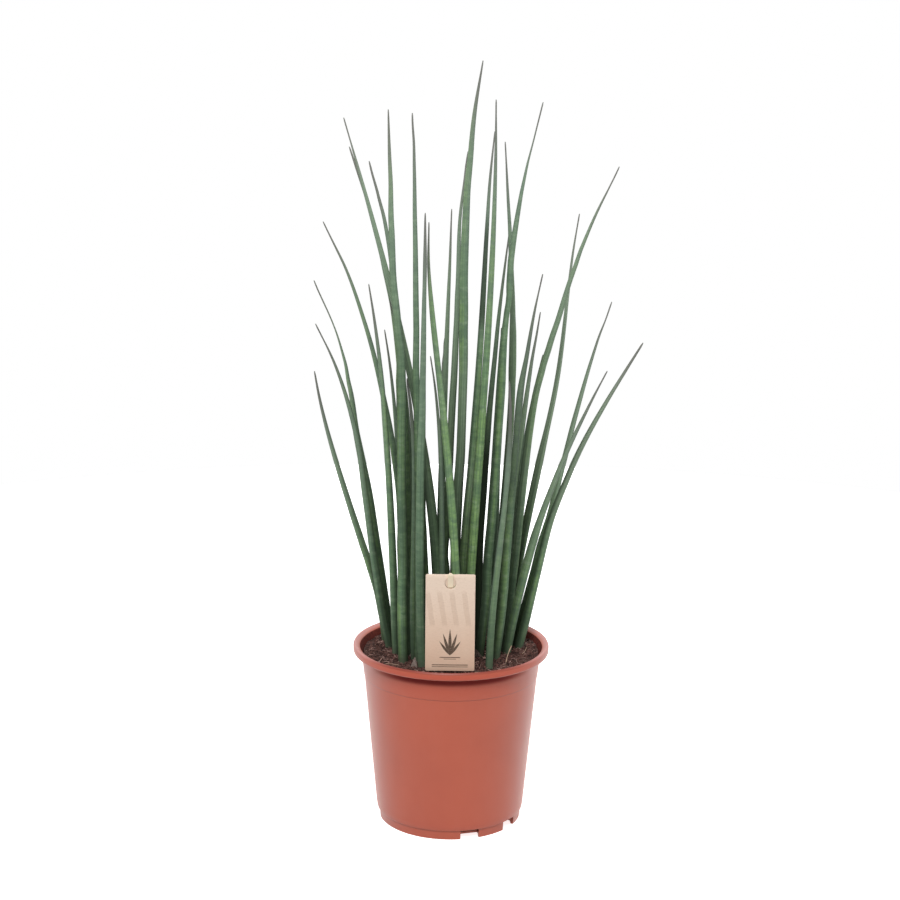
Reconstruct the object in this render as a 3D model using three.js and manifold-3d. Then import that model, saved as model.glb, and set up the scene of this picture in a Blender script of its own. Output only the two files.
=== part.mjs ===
// A cylindrical snake plant standing in its round plastic nursery pot, with a card on a stake.
//
// Millimetres, +Z up. The origin is the middle of the pot's underside, on the plane it stands on,
// and -Y is the front, the side that the card faces. Every leaf is a body of its own, planted in a
// socket of the compost.

import * as THREE from 'three';
import { mergeVertices } from 'three/addons/utils/BufferGeometryUtils.js';
import Module from 'manifold-3d';

const wasm = await Module();
wasm.setup();

// ---- sizes --------------------------------------------------------------------------------

const clearance = 0.3;      // air between two pieces that touch
const turn = Math.PI * 2;

const pot = {
  sides: 72,
  height: 157.4,            // top of the rim
  rimRadius: 85,
  rimBand: 6,               // width of the rim seen from above
  rimFall: 2,               // how far its top slopes down inwards
  rimRound: 1.6,            // rounding of the rim's outer edges
  rimEase: 0.8,             // small bevel of its inner edge
  lipDepth: 7.2,            // height of the rim's outer face
  neckRadius: 78,           // outer wall where it meets the rim
  heelRadius: 64.1,         // outer wall where it turns in to the foot
  heelHeight: 8.3,
  wall: 1.6,
  draft: 0.5,               // taper of the upright faces of the foot, the heel and the pad
  stepHeight: 130,          // fine moulded step around the wall
  stepDepth: 0.4,
  footRadius: 62,           // standing ring, set in from the wall
  footWidth: 2.6,
  padRadius: 38,            // middle of the floor, which stands on the same plane as the foot
  channelHeight: 2.4,       // drain channel between the pad and the foot
  floorThickness: 1.8,
  notchAngles: [16.5, 56, 95, 196.5, 236, 275],   // degrees from the front, towards +X
  notchWidth: 16.5,
  notchDepth: 6.5,          // how far a notch reaches in from the foot's outer face
};

const soil = {
  top: 146,                 // compost surface among the leaves
  edgeRise: 3.5,            // how much higher it lies at the wall
  relief: 1.2,              // height of its humps
  humpLengths: [9, 11, 6.5],
  sides: 36,
  rings: [72, 60, 46, 31, 16, 1],
  socketTop: 153,           // above every hump, so that each socket is open
};

const leaf = {
  sides: 8,
  stations: 11,             // lengths between the compost and the tip
  planted: 13,              // depth below the compost surface
  tipThickness: 0.9,
  taperLength: 170,         // distance from the tip over which most of the thickening happens
  taperPower: 1,            // above 1, the tip stays slender for longer
  leanPower: 1.2,           // above 1, a leaf leaves the compost upright and leans further up
};

const card = {
  width: 41.4, height: 81.7, thickness: 0.6,
  x: -1, y: -60, bottom: 153.7,
  cornerRadius: 1.4,
  holeRadius: 4.7, holeBelowTop: 7.8,
};

const stake = {
  width: 4.8, thickness: 1.1,
  foot: 118,                // its end in the compost
  top: 236.4,
  behind: 11,               // distance behind the card at the card's bottom edge
  crossing: 0.27,           // slope with which it passes through the hole
  stations: 7,              // lengths between the card's bottom edge and its own top
  point: [[9, 1], [1.2, 0.68], [0, 0.5]],         // distance from the top, share of the width
};

// Each leaf: where it leaves the compost [x, y], its tip [x, y, z], how far its middle bows
// towards +X (bow), how far it snakes to either side of that (ess), how far its tip turns
// aside (flick), and its full thickness. Some have a tip thickness (end), a taper length (taper)
// or a taper power (slim) of their own.
const leaves = [
  // left clump, outer fan
  { foot: [-57, 26], tip: [-120, 34, 389], bow: 0.2, ess: 2.5, thick: 8.5, end: 1.25, taper: 160 },
  { foot: [-54, 15], tip: [-116, -5, 436], bow: 10.5, ess: -4, thick: 7.6, end: 0.4, taper: 125 },
  { foot: [-52, 34], tip: [-122, 62, 464], bow: 10, ess: -3, thick: 7.8, end: 0.5, taper: 120, slim: 2.2 },
  { foot: [-42, 2], tip: [-112.5, 40, 517], bow: 24, ess: -3, thick: 7 },
  { foot: [-47, -3], tip: [-70, -38, 474], bow: 5, ess: -1, thick: 7.4 },
  { foot: [-39, 12], tip: [-60, 45, 424], bow: 3.5, ess: -1.5, thick: 7, end: 1.1 },
  { foot: [-38, 30], tip: [-92, 80, 578], bow: 17, ess: -3.5, thick: 7, end: 1.3 },
  { foot: [-34, 24], tip: [-56, 52, 449], bow: 8, ess: -2.5, thick: 6.5 },
  // left clump, inner leaves
  { foot: [-34, -6], tip: [-72, 30, 569], bow: 11.2, ess: -3, thick: 7.6, end: 1.4 },
  { foot: [-41, -21], tip: [-55, -30, 614], bow: 8, ess: -2, flick: 9, thick: 8.6, end: 1.1, taper: 150 },
  { foot: [-33, -14], tip: [-40, -8, 391], bow: 2.5, ess: -1.5, thick: 6 },
  { foot: [-28, -20], tip: [-36, 5, 610], bow: 2.6, ess: 0.5, thick: 7.4, end: 1.3, taper: 190 },
  { foot: [-24.5, -36], tip: [-24.5, -70, 535], bow: -2, ess: -1, thick: 8.2 },
  // middle
  { foot: [-11, -8], tip: [-95, 48, 604], bow: 19, ess: 2, thick: 7.4, end: 0.5 },
  { foot: [-4.5, -22], tip: [-19.5, -20, 412], bow: 3, ess: -2, thick: 7.2 },
  { foot: [-7.5, 28], tip: [-3, 60, 527], bow: -4, ess: -1, thick: 7.2 },
  { foot: [-4.5, 6], tip: [10, 26, 578], bow: -4, thick: 7.4 },
  { foot: [4.5, 14], tip: [21.5, -14, 653], bow: 4, ess: -2, flick: 18, thick: 8.4, end: 1, taper: 115 },
  { foot: [6, -36], tip: [-21, -62, 527], bow: 8.6, flick: 12, thick: 8.4 },
  { foot: [8.5, 2], tip: [32.5, 20, 595], bow: 6, ess: -3, flick: 12.5, thick: 7.4 },
  { foot: [13, -18], tip: [31.5, -46, 623], bow: 3, ess: -1.5, thick: 8 },
  { foot: [25, 13], tip: [47, 60, 509], bow: -7, ess: -0.5, thick: 7.4 },
  // right clump, inner leaves
  { foot: [24, -1], tip: [71, 28, 619], bow: -7.5, ess: 4.5, thick: 8.4, end: 0.6, taper: 115, slim: 2 },
  { foot: [37, 32], tip: [42, 50, 585], bow: 16.5, ess: -4, flick: 11, thick: 7.6, end: 0.75 },
  { foot: [32.5, -37], tip: [45.5, -52, 397], bow: 2.5, ess: -2, thick: 8 },
  { foot: [39, -13], tip: [72, -34, 483], bow: -3.5, ess: 2.5, thick: 8, end: 0.4 },
  { foot: [43.5, 26], tip: [72.5, 14, 445], bow: -3.5, thick: 7.4 },
  { foot: [45, 36], tip: [78, 60, 401], bow: -5, ess: 1, thick: 7 },
  // right clump, outer fan
  { foot: [45.5, 14], tip: [137, 34, 566], bow: -29.2, ess: 8, flick: -15, thick: 8, end: 0.55 },
  { foot: [50.5, 31], tip: [108, 70, 523], bow: 11, ess: -5.5, flick: 17, thick: 7.6 },
  { foot: [48.5, 2], tip: [126.5, -26, 402], bow: -10.6, ess: 0.5, thick: 8.2, end: 0.8, taper: 145 },
  { foot: [55, 22], tip: [135.5, 52, 449], bow: -2.6, ess: 1, thick: 7.4, end: 0.4, taper: 135 },
  { foot: [60, 12], tip: [157.5, -8, 423], bow: -22.4, ess: 4.5, flick: -11.5, thick: 8.4,
    end: 1.5, taper: 165 },
  // shorter leaves at the back
  { foot: [-22, 22], tip: [-27, 46, 400], bow: 1, thick: 7 },
  { foot: [-8, 46], tip: [-12, 92, 410], bow: 1, thick: 7.2 },
  { foot: [36, 48], tip: [42, 88, 420], bow: 1, thick: 7.2 },
  { foot: [51, 44], tip: [80, 82, 330], bow: -2, thick: 6.8 },
  { foot: [14, 38], tip: [17, 62, 310], bow: 0.5, thick: 6.6 },
  { foot: [-11, 61], tip: [-13, 72, 236], thick: 5.6 },
  { foot: [29, 60], tip: [33, 70, 226], thick: 5.4 },
];


// ---- building blocks ----------------------------------------------------------------------

// A closed skin over a stack of equal rings of points, with a flat fan on the first and last.
function loft(rings) {
  const count = rings[0].length;
  const points = rings.flat();
  const faces = [];
  for (let k = 0; k < rings.length - 1; k++) {
    for (let i = 0; i < count; i++) {
      const a = k * count + i;
      const b = k * count + (i + 1) % count;
      faces.push(a, b, b + count, a, b + count, a + count);
    }
  }
  const last = (rings.length - 1) * count;
  for (let i = 1; i < count - 1; i++) {
    faces.push(0, i + 1, i, last, last + i, last + i + 1);
  }
  const geometry = new THREE.BufferGeometry();
  geometry.setAttribute('position', new THREE.Float32BufferAttribute(points.flat(), 3));
  geometry.setIndex(faces);
  return geometry;
}

// A level ring, anticlockwise from above.
function levelRing(x, y, z, radius, count) {
  return Array.from({ length: count }, (_, i) => {
    const angle = i / count * turn;
    return [x + radius * Math.cos(angle), y + radius * Math.sin(angle), z];
  });
}

function solid(geometry) {
  const plain = geometry.clone();
  plain.deleteAttribute('normal');
  plain.deleteAttribute('uv');
  const merged = mergeVertices(plain, 1e-5);
  return new wasm.Manifold(new wasm.Mesh({
    numProp: 3,
    vertProperties: new Float32Array(merged.attributes.position.array),
    triVerts: new Uint32Array(merged.index.array),
  }));
}

function geometryOf(manifold) {
  const mesh = manifold.getMesh();
  const geometry = new THREE.BufferGeometry();
  geometry.setAttribute('position', new THREE.BufferAttribute(mesh.vertProperties, 3));
  geometry.setIndex(new THREE.BufferAttribute(mesh.triVerts, 1));
  geometry.computeVertexNormals();
  return geometry;
}

// Revolves a profile of [radius, height] about the vertical.
function revolve(profile, sides) {
  const points = profile.map(([r, z]) => new THREE.Vector2(r, z));
  return new THREE.LatheGeometry(points, sides).rotateX(Math.PI / 2);
}

const part = new THREE.Group();
part.name = 'cylindrical_snake_plant';

function add(name, geometry, color, roughness) {
  const material = new THREE.MeshStandardMaterial({ color, roughness, metalness: 0 });
  const mesh = new THREE.Mesh(geometry, material);
  mesh.name = name;
  part.add(mesh);
}

// ---- pot ----------------------------------------------------------------------------------

const neck = pot.height - pot.lipDepth;

// outer wall radius at a height
function wallRadius(z) {
  const t = (z - pot.heelHeight) / (neck - pot.heelHeight);
  return pot.heelRadius + (pot.neckRadius - pot.heelRadius) * t;
}

const rimInner = pot.rimRadius - pot.rimBand;
const footInner = pot.footRadius - pot.footWidth;
const channelTop = pot.channelHeight + pot.floorThickness;
const heelTop = pot.heelHeight + pot.wall;
const { draft, rimRound, rimEase } = pot;

const potProfile = [
  [0, 0],
  [pot.padRadius, 0],
  [pot.padRadius + draft, pot.channelHeight],
  [footInner - draft, pot.channelHeight],
  [footInner, 0],
  [pot.footRadius, 0],
  [pot.footRadius + draft, pot.heelHeight],
  [pot.heelRadius - draft, pot.heelHeight],
  [pot.heelRadius, pot.heelHeight + draft],
  [wallRadius(pot.stepHeight) - pot.stepDepth, pot.stepHeight],
  [wallRadius(pot.stepHeight + draft), pot.stepHeight + draft],
  [pot.neckRadius, neck],
  [pot.rimRadius - rimRound, neck],
  [pot.rimRadius - rimRound * 0.3, neck + rimRound * 0.3],
  [pot.rimRadius, neck + rimRound],
  [pot.rimRadius, pot.height - rimRound],
  [pot.rimRadius - rimRound * 0.3, pot.height - rimRound * 0.3],
  [pot.rimRadius - rimRound, pot.height],
  [rimInner + rimEase, pot.height - pot.rimFall],
  [rimInner, pot.height - pot.rimFall - rimEase],
  [wallRadius(neck) - pot.wall, neck - pot.wall],
  [wallRadius(heelTop) - pot.wall, heelTop],
  [pot.footRadius + draft - pot.wall, heelTop],
  [pot.footRadius - pot.wall, channelTop],
  [pot.padRadius + draft + pot.wall, channelTop],
  [pot.padRadius + pot.wall, pot.floorThickness],
  [0, pot.floorThickness],
];

let potBody = solid(revolve(potProfile, pot.sides));
for (const degrees of pot.notchAngles) {
  const angle = degrees / 360 * turn;
  const notch = new THREE.BoxGeometry(pot.notchWidth, pot.notchDepth * 2, pot.heelHeight * 2);
  notch.translate(0, -pot.footRadius, 0).rotateZ(angle);
  potBody = potBody.subtract(solid(notch));
}
add('pot', geometryOf(potBody), 0xac6152, 0.5);

// ---- leaves -------------------------------------------------------------------------------

// The middle of a leaf at a height; below the compost it runs straight down.
function leafCentre(each, z) {
  const [footX, footY] = each.foot;
  const [tipX, tipY, tipZ] = each.tip;
  const { bow = 0, ess = 0, flick = 0 } = each;
  const t = Math.max(0, (z - soil.top) / (tipZ - soil.top));
  const arc = 4 * t * (1 - t);                         // 1 in the middle, 0 at both ends
  const snake = 2.6 * arc * (1 - 2 * t);               // 1 a quarter up, -1 a quarter down
  const hook = t ** 8 - t;                             // stays straight until near the tip
  const x = footX + (tipX - footX) * t + bow * arc + ess * snake + flick * hook;
  return [x, footY + (tipY - footY) * t ** leaf.leanPower];
}

function leafRadius(each, z) {
  const { end = leaf.tipThickness, taper = leaf.taperLength, slim = leaf.taperPower } = each;
  const grown = 1 - Math.exp(-(((each.tip[2] - z) / taper) ** slim));
  return (end + (each.thick - end) * grown) / 2;
}

function leafGeometry(each, heights, extra) {
  return loft(heights.map((z) => {
    const [x, y] = leafCentre(each, z);
    return levelRing(x, y, z, leafRadius(each, z) + extra, leaf.sides);
  }));
}

leaves.forEach((each, index) => {
  const heights = [soil.top - leaf.planted];
  for (let k = 0; k <= leaf.stations; k++) {
    heights.push(soil.top + (each.tip[2] - soil.top) * k / leaf.stations);
  }
  const name = `leaf_${String(index + 1).padStart(2, '0')}`;
  add(name, leafGeometry(each, heights, 0), 0x4b694b, 0.55);
});

// ---- card ---------------------------------------------------------------------------------

const cardTop = card.bottom + card.height;
const outline = new THREE.Shape();
{
  const w = card.width / 2;
  const h = card.height;
  const r = card.cornerRadius;
  outline.moveTo(-w + r, 0);
  outline.lineTo(w - r, 0);
  outline.quadraticCurveTo(w, 0, w, r);
  outline.lineTo(w, h - r);
  outline.quadraticCurveTo(w, h, w - r, h);
  outline.lineTo(-w + r, h);
  outline.quadraticCurveTo(-w, h, -w, h - r);
  outline.lineTo(-w, r);
  outline.quadraticCurveTo(-w, 0, -w + r, 0);
}
const hole = new THREE.Path();
hole.absarc(0, card.height - card.holeBelowTop, card.holeRadius, 0, turn, false);
outline.holes.push(hole);
const cardGeometry = new THREE.ExtrudeGeometry(outline, {
  depth: card.thickness, bevelEnabled: false, curveSegments: 12,
});
cardGeometry.rotateX(Math.PI / 2);
cardGeometry.translate(card.x, card.y + card.thickness / 2, card.bottom);
add('card', cardGeometry, 0xd8bfa8, 0.85);

// ---- stake --------------------------------------------------------------------------------

// The stake stands behind the card and bends forward at the top, out through the hole.
const holeHeight = cardTop - card.holeBelowTop;
const straighten = (stake.crossing * (holeHeight - card.bottom) - stake.behind)
  / (holeHeight - card.bottom) ** 2;

// where the middle of its thickness lies at a height
function stakeMiddle(z) {
  const below = Math.min(holeHeight - z, holeHeight - card.bottom);
  return card.y + stake.crossing * below - straighten * below * below;
}

function stakeRing(z, width, extra) {
  const left = card.x - width / 2 - extra;
  const right = card.x + width / 2 + extra;
  const front = stakeMiddle(z) - stake.thickness / 2 - extra;
  const back = stakeMiddle(z) + stake.thickness / 2 + extra;
  return [[left, front, z], [right, front, z], [right, back, z], [left, back, z]];
}

const stakeRings = [stakeRing(stake.foot, stake.width, 0)];
for (let k = 0; k < stake.stations; k++) {
  const z = card.bottom + (stake.top - card.bottom) * k / stake.stations;
  stakeRings.push(stakeRing(z, stake.width, 0));
}
for (const [down, share] of stake.point) {
  stakeRings.push(stakeRing(stake.top - down, stake.width * share, 0));
}
add('stake', loft(stakeRings), 0xead3b0, 0.7);

// ---- compost ------------------------------------------------------------------------------

function soilHeight(x, y) {
  const [a, b, c] = soil.humpLengths;
  const slope = soil.edgeRise * (Math.hypot(x, y) / soil.rings[0]) ** 3;
  const humps = Math.sin(x / a + 1.3) * Math.cos(y / b - 0.6) + 0.6 * Math.sin((x - y) / c);
  return soil.top + slope + soil.relief * humps / 1.6;
}

function flatRing(radius, z) {
  return levelRing(0, 0, z, radius, soil.sides);
}

function surfaceRing(radius) {
  return flatRing(radius, 0).map(([x, y]) => [x, y, soilHeight(x, y)]);
}

const soilEdge = wallRadius(soil.top + soil.edgeRise - soil.relief) - pot.wall - clearance;
const soilRings = [
  flatRing(1, pot.floorThickness + clearance),
  flatRing(pot.padRadius + pot.wall - clearance, pot.floorThickness + clearance),
  flatRing(pot.padRadius + draft + pot.wall - clearance, channelTop + clearance),
  flatRing(pot.footRadius - pot.wall - clearance, channelTop + clearance),
  flatRing(pot.footRadius + draft - pot.wall - clearance, heelTop + clearance),
  flatRing(wallRadius(heelTop) - pot.wall - clearance, heelTop + clearance),
  surfaceRing(soilEdge),
  ...soil.rings.map(surfaceRing),
];
let soilBody = solid(loft(soilRings));
for (const each of leaves) {
  const heights = [soil.top - leaf.planted - clearance, soil.top, soil.socketTop];
  soilBody = soilBody.subtract(solid(leafGeometry(each, heights, clearance * 1.1)));
}
const slotLevels = [stake.foot - clearance, soil.top, soil.socketTop];
const slot = loft(slotLevels.map((z) => stakeRing(z, stake.width, clearance)));
soilBody = soilBody.subtract(solid(slot));
add('soil', geometryOf(soilBody), 0x50372f, 0.95);

export default part;
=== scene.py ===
import math
import random

import bmesh
import bpy
from mathutils import Matrix, Vector, noise


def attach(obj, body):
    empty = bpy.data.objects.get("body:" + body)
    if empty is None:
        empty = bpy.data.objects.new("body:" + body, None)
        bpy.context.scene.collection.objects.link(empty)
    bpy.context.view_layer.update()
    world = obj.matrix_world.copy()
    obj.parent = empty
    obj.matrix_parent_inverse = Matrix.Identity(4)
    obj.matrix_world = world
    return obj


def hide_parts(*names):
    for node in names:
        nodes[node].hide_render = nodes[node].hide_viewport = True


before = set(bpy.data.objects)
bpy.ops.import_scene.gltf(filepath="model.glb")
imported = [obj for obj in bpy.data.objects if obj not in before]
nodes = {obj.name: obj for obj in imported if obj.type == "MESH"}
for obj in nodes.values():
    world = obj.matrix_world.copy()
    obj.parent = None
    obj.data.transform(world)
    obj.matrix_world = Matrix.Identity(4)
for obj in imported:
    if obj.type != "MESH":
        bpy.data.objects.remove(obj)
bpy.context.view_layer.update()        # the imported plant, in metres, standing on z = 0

mm = 0.001
scene = bpy.context.scene


def placed(name, data):               # a new object of the scene
    made = bpy.data.objects.new(name, data)
    scene.collection.objects.link(made)
    return made


# camera first: level with the leaves, looking down a little
cameraLook = {
    "place": (-0.0025, -1.5655, 0.6693),
    "down": 12.3,            # degrees below the horizon
    "roll": 0.546,
    "lens": 75.31,
    "sensor": 36,
}
camera = placed("camera", bpy.data.cameras.new("camera"))
camera.data.lens = cameraLook["lens"]
camera.data.sensor_width = cameraLook["sensor"]
camera.matrix_world = (Matrix.Translation(cameraLook["place"])
                       @ Matrix.Rotation(math.radians(90 - cameraLook["down"]), 4, "X")
                       @ Matrix.Rotation(math.radians(cameraLook["roll"]), 4, "Z"))
scene.camera = camera
print("camera set")


# ways of making a finish

def shade(red, green, blue):          # a screen colour, 0 to 255, as Blender's linear one
    linear = [c / 12.92 if c <= 0.04045 else ((c + 0.055) / 1.055) ** 2.4
              for c in (red / 255, green / 255, blue / 255)]
    return (*linear, 1)


def bothWays(operation):              # the sum of a wire and a value, and of a value and a wire
    return (lambda self, other: self.sum(operation, self, other),
            lambda self, other: self.sum(operation, other, self))


class Wire:
    # a value that runs through a tree of nodes, so that sums on it are plain Python
    def __init__(self, tree, socket):
        self.tree = tree
        self.socket = socket

    def sum(self, operation, first, second=0.0, clamp=False):
        return self.tree.node("ShaderNodeMath", {"operation": operation, "use_clamp": clamp},
                              {0: first, 1: second})

    __add__, __radd__ = bothWays("ADD")
    __sub__, __rsub__ = bothWays("SUBTRACT")
    __mul__, __rmul__ = bothWays("MULTIPLY")
    __truediv__, __rtruediv__ = bothWays("DIVIDE")
    __pow__, __rpow__ = bothWays("POWER")

    def __abs__(self):
        return self.sum("ABSOLUTE", self)

    def sine(self):
        return self.sum("SINE", self)

    def most(self, other):
        return self.sum("MAXIMUM", self, other)

    def clamped(self):
        return self.sum("ADD", self, clamp=True)

    def rise(self, low, high):        # 0 below low, 1 above high, a soft step between
        return self.tree.node("ShaderNodeMapRange", {"interpolation_type": "SMOOTHSTEP"},
                              {"Value": self, "From Min": low, "From Max": high})


class NodeTree:
    # the nodes of a material or of the world
    def __init__(self, tree):
        self.tree = tree

    def join(self, value, socket):    # a wire, or a plain value
        if isinstance(value, Wire):
            self.tree.links.new(value.socket, socket)
        else:
            socket.default_value = value

    def node(self, kind, settings=None, inputs=None, output=0):
        made = self.tree.nodes.new(kind)
        for key, value in (settings or {}).items():
            setattr(made, key, value)
        for key, value in (inputs or {}).items():
            self.join(value, made.inputs[key])
        return Wire(self, made.outputs[output])

    def stretch(self, at, x, y, z):
        return self.node("ShaderNodeVectorMath", {"operation": "MULTIPLY"}, {0: at, 1: (x, y, z)})

    def axes(self, at):
        return [self.node("ShaderNodeSeparateXYZ", inputs={0: at}, output=i) for i in range(3)]


class Finish(NodeTree):
    # a material on one Principled shader
    def __init__(self, name, **fixed):
        self.material = bpy.data.materials.new(name)
        self.material.use_nodes = True
        super().__init__(self.material.node_tree)
        self.feed(**fixed)

    def feed(self, **values):
        shader = self.tree.nodes["Principled BSDF"]
        for key, value in values.items():
            self.join(value, shader.inputs[key.replace("_", " ")])

    def place(self, scale=1000):      # object coordinates, in millimetres as they come
        return self.stretch(self.node("ShaderNodeTexCoord", output="Object"), scale, scale, scale)

    def carried(self, name):          # a point attribute of the piece
        return self.node("ShaderNodeAttribute", {"attribute_name": name}, output="Vector")

    def cloud(self, at, scale, detail, rough=0.5, twist=0):     # one scale, or one for each way
        if isinstance(scale, tuple):
            at, scale = self.stretch(at, *scale), 1
        return self.node("ShaderNodeTexNoise", inputs={
            "Vector": at, "Scale": scale, "Detail": detail, "Roughness": rough, "Distortion": twist})

    def cells(self, at, scale):
        return self.node("ShaderNodeTexVoronoi", inputs={"Vector": at, "Scale": scale}, output="Color")

    def mix(self, share, first, second):
        return self.node("ShaderNodeMix", {"data_type": "RGBA"}, {0: share, 6: first, 7: second}, 2)

    def coats(self, skin, *layers):   # each one's share and screen colour, from the lowest up
        for share, colour in layers:
            skin = self.mix(share, skin, shade(*colour))
        return skin

    def relief(self, height, depth, strength):          # depth in metres
        self.feed(Normal=self.node("ShaderNodeBump", inputs={
            "Strength": strength, "Distance": depth, "Height": height}))


# ways of making a piece

def meshFrom(name, bm):               # uses the bmesh up
    mesh = bpy.data.meshes.new(name)
    bm.to_mesh(mesh)
    bm.free()
    return mesh


def pieceFrom(name, bm, finishes, replaces=(), sharp=60):
    mesh = meshFrom(name, bm)
    for finish in finishes:
        mesh.materials.append(finish.material)
    mesh.shade_smooth()
    mesh.set_sharp_from_angle(angle=math.radians(sharp))
    piece = placed(name, mesh)
    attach(piece, "root")
    if replaces:
        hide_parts(*replaces)
    return piece


def cutAway(bm, cutter):              # the bmesh with the cutter's shape taken out, as a new bmesh
    bodies = [placed("cutting", meshFrom("cutting", made)) for made in (bm, cutter)]
    cut = bodies[0].modifiers.new("cut", "BOOLEAN")
    cut.operation = "DIFFERENCE"
    cut.solver = "EXACT"
    cut.object = bodies[1]
    shape = bodies[0].evaluated_get(bpy.context.evaluated_depsgraph_get())
    result = bmesh.new()
    result.from_mesh(shape.to_mesh())
    shape.to_mesh_clear()
    for body in bodies:
        mesh = body.data
        bpy.data.objects.remove(body)
        bpy.data.meshes.remove(mesh)
    return result


def faceOut(bm):
    bmesh.ops.recalc_face_normals(bm, faces=bm.faces)


def mend(bm):
    bmesh.ops.remove_doubles(bm, verts=bm.verts, dist=1e-6)
    faceOut(bm)


def spun(points, steps):              # a line in the XZ plane, turned once round the Z axis
    bm = bmesh.new()
    wire = [bm.verts.new(p) for p in points]
    edges = [bm.edges.new(pair) for pair in zip(wire, wire[1:])]
    bmesh.ops.spin(bm, geom=wire + edges, axis=(0, 0, 1), cent=(0, 0, 0), angle=math.tau,
                   steps=steps, use_merge=True)
    mend(bm)
    return bm


def extruded(bm, geometry, step):     # the new faces, moved on by a step
    grown = bmesh.ops.extrude_face_region(bm, geom=geometry)["geom"]
    bmesh.ops.translate(bm, verts=[g for g in grown if isinstance(g, bmesh.types.BMVert)], vec=step)
    return [g for g in grown if isinstance(g, bmesh.types.BMFace)]


def risers(bm, least):                # edges that climb by more than the least
    return [e for e in bm.edges if abs(e.verts[0].co.z - e.verts[1].co.z) > least]


def bevelled(bm, geometry, offset, segments, affect="EDGES"):
    bmesh.ops.bevel(bm, geom=geometry, offset=offset, segments=segments, profile=0.5, affect=affect,
                    material=-1)


def turned(angle, axis="Z"):
    return Matrix.Rotation(angle, 4, axis)


def ringsOf(name):                    # middle and half widths of each ring of a CAD piece, lowest first
    levels = []
    for point in sorted((v.co for v in nodes[name].data.vertices), key=lambda p: p.z):
        if not levels or point.z - levels[-1][-1].z > 0.3 * mm:
            levels.append([])
        levels[-1].append(point)
    rings = []
    for level in levels:
        low = Vector([min(p[i] for p in level) for i in range(3)])
        high = Vector([max(p[i] for p in level) for i in range(3)])
        rings.append(((low + high) / 2, (high - low) / 2))
    return rings


def between(rings, s):                # a smooth line through the rings, s counted in rings
    k = min(int(s), len(rings) - 2)
    f = s - k
    ends = [rings[k][0], rings[k + 1][0]]
    before = rings[k - 1][0] if k else 2 * ends[0] - ends[1]
    after = rings[k + 2][0] if k + 2 < len(rings) else 2 * ends[1] - ends[0]
    middle = 0.5 * (2 * ends[0] + (ends[1] - before) * f
                    + (2 * before - 5 * ends[0] + 4 * ends[1] - after) * f ** 2
                    + (3 * ends[0] - before - 3 * ends[1] + after) * f ** 3)
    return middle, rings[k][1].lerp(rings[k + 1][1], f)


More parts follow.
